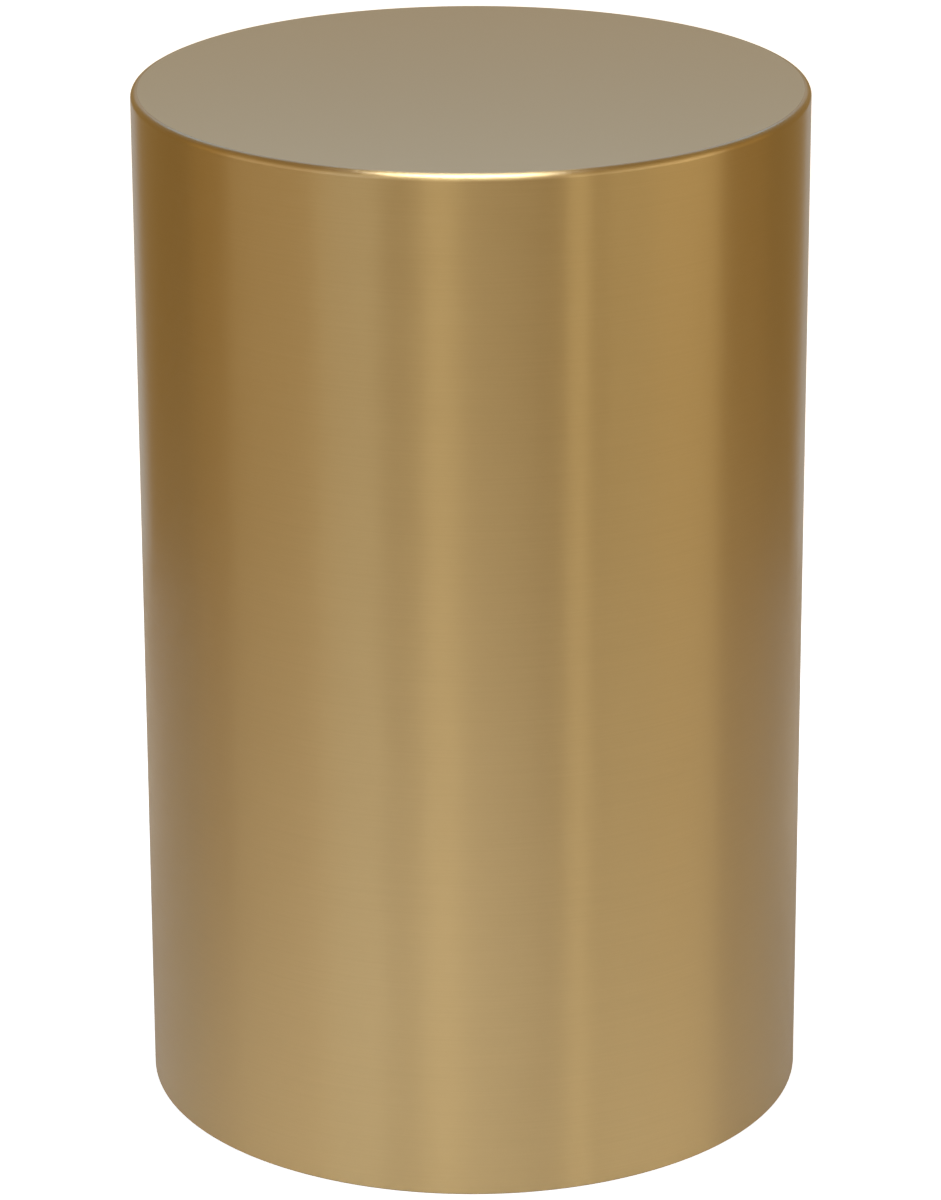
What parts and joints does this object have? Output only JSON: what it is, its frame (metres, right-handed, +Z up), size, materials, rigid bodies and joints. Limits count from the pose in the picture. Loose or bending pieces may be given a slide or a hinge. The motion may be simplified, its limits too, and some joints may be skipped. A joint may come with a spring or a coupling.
{
  "type": "cremation urn",
  "caption": "Plain upright cylinder cremation urn of satin-brushed bronze with a flat closed top and a softened rim, hollow, filled from below through a recessed screw-in base plate.",
  "frame": {"origin": "centre of the foot, on the surface that the urn stands on", "axes": "+Z up along the urn's axis of revolution; +X along the line through the base plate's two key holes; the pictured front faces -Y"},
  "size_m": [0.146, 0.146, 0.228],
  "materials": {
    "brushed_bronze": "satin, brushed round the wall, clear lacquered",
    "turned_bronze": "fine turned, dull"
  },
  "bodies": {
    "root": {"urn_shell": "brushed_bronze", "base_plate": "turned_bronze"}
  },
  "joints": []
}
